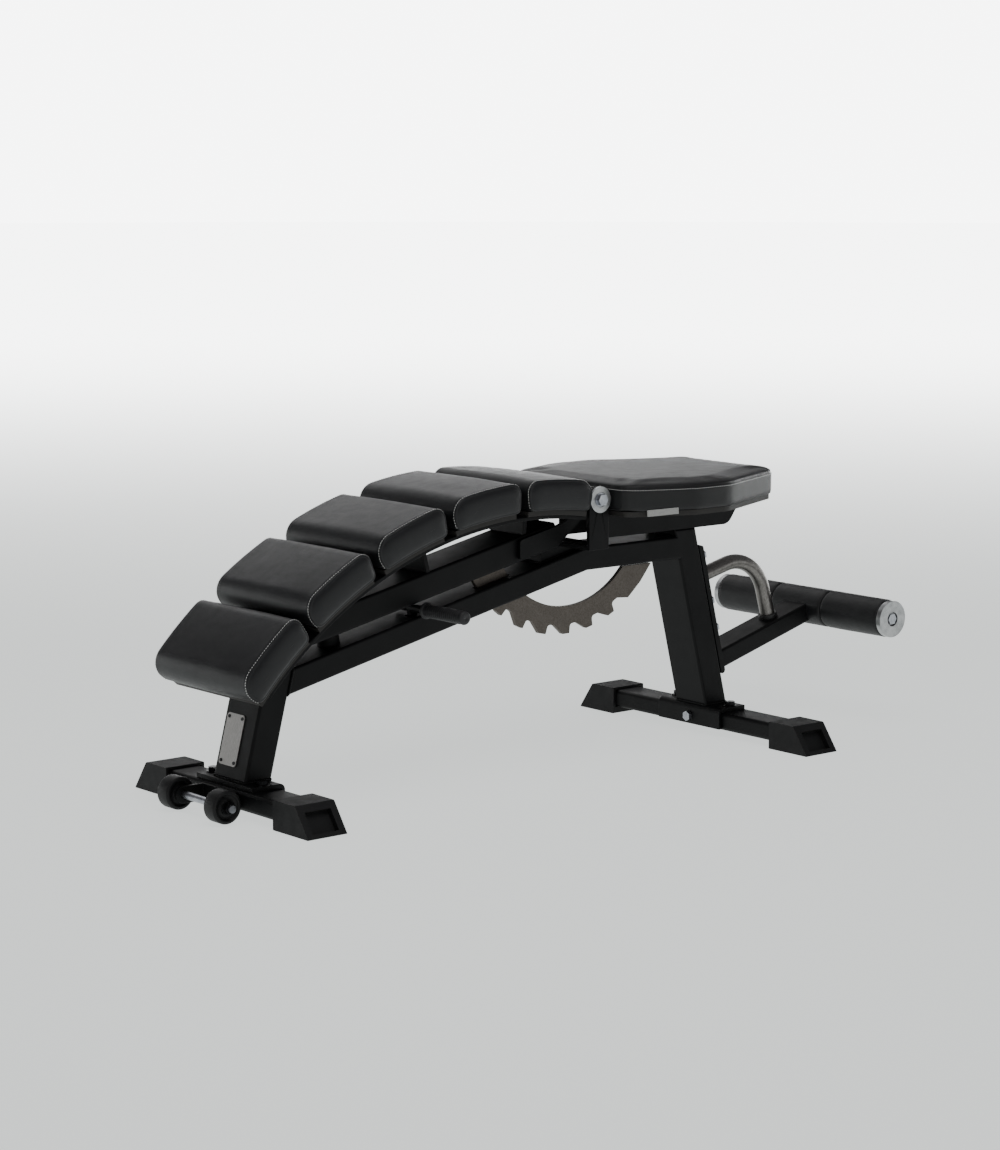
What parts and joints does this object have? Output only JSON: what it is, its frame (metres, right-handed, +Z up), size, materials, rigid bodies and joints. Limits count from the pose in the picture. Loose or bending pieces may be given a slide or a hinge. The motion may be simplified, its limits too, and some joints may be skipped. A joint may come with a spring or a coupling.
{
  "type": "adjustable weight bench",
  "caption": "Low exercise bench with a curved, segmented padded backrest on a toothed tilt quadrant, a flat padded seat, a padded leg roller and transport wheels.",
  "frame": {"origin": "on the floor, at the middle of the bench's overall length and width", "axes": "+Z up, +X towards the leg roller end, +Y to the left of someone facing +X"},
  "size_m": [1.43, 0.5982, 0.506],
  "materials": {
    "frame_paint": "satin black powder coat",
    "foot_rubber": "matte moulded",
    "wheel_plastic": "matte moulded",
    "zinc_steel": "zinc plated",
    "plate_steel": "brushed",
    "bare_steel": "bare, lightly oiled, brown-grey",
    "handle_steel": "brushed stainless",
    "machined_aluminium": "machined",
    "black_nylon": "matte",
    "grip_rubber": "ribbed, matte",
    "roller_sleeve": "smooth vinyl over foam",
    "board_wood": "plywood, black stained",
    "back_leather": "fine-grained, slightly glossy",
    "seat_leather": "smooth, semi-gloss"
  },
  "bodies": {
    "base": {"front_cross_tube": "frame_paint", "rear_cross_tube": "frame_paint", "front_left_foot": "foot_rubber", "front_right_foot": "foot_rubber", "rear_left_foot": "foot_rubber", "rear_right_foot": "foot_rubber", "front_saddle": "frame_paint", "rear_saddle": "frame_paint", "saddle_bolts": "zinc_steel", "front_post": "frame_paint", "rear_post": "frame_paint", "main_beam": "frame_paint", "data_plate": "plate_steel", "data_plate_rivets": "zinc_steel", "hinge_yoke": "frame_paint", "hinge_pin": "zinc_steel", "hinge_discs": "machined_aluminium", "end_bolts": "zinc_steel", "backrest_bumper": "foot_rubber", "latch_guide": "black_nylon", "latch_spring": "zinc_steel", "seat_bracket": "frame_paint", "seat_board": "board_wood", "seat_pad": "seat_leather", "roller_arm_plate": "frame_paint", "roller_arm": "frame_paint", "arm_plate_bolts": "zinc_steel", "pull_handle": "handle_steel", "handle_collar": "black_nylon", "roller_axle": "zinc_steel", "roller_centre_sleeve": "roller_sleeve", "wheel_axle": "zinc_steel", "wheel_axle_nuts": "zinc_steel", "wheel_bracket": "frame_paint"},
    "backrest": {"backrest_beam": "frame_paint", "hinge_barrel": "frame_paint", "hinge_bushes": "black_nylon", "arch_plate": "frame_paint", "arch_webs": "frame_paint", "ratchet_quadrant": "bare_steel", "pad_board_1": "board_wood", "pad_board_2": "board_wood", "pad_board_3": "board_wood", "pad_board_4": "board_wood", "pad_board_5": "board_wood", "back_pad_1": "back_leather", "back_pad_2": "back_leather", "back_pad_3": "back_leather", "back_pad_4": "back_leather", "back_pad_5": "back_leather"},
    "latch": {"release_latch": "frame_paint", "latch_grip": "grip_rubber"},
    "left_wheel": {"left_transport_wheel": "wheel_plastic"},
    "right_wheel": {"right_transport_wheel": "wheel_plastic"},
    "left_roller": {"left_roller_sleeve": "roller_sleeve", "left_roller_core": "black_nylon", "left_roller_cap": "machined_aluminium"},
    "right_roller": {"right_roller_sleeve": "roller_sleeve", "right_roller_core": "black_nylon", "right_roller_cap": "machined_aluminium"}
  },
  "joints": [
    {"name": "backrest_tilt", "type": "hinge", "parent": "base", "child": "backrest", "pos_m": [0.06, 0, 0.4595], "axis": [0, 1, 0], "range_deg": [0, 76.8]},
    {"name": "latch_slide", "type": "slide", "parent": "base", "child": "latch", "axis": [0.9759, 0, 0.2181], "range_m": [0, 0.022]},
    {"name": "left_wheel_spin", "type": "hinge", "parent": "base", "child": "left_wheel", "pos_m": [-0.688, 0, 0.0285], "axis": [0, 1, 0], "continuous": true},
    {"name": "right_wheel_spin", "type": "hinge", "parent": "base", "child": "right_wheel", "pos_m": [-0.688, 0, 0.0285], "axis": [0, 1, 0], "continuous": true},
    {"name": "left_roller_spin", "type": "hinge", "parent": "base", "child": "left_roller", "pos_m": [0.6805, 0, 0.201], "axis": [0, 1, 0], "continuous": true},
    {"name": "right_roller_spin", "type": "hinge", "parent": "base", "child": "right_roller", "pos_m": [0.6805, 0, 0.201], "axis": [0, 1, 0], "continuous": true}
  ]
}
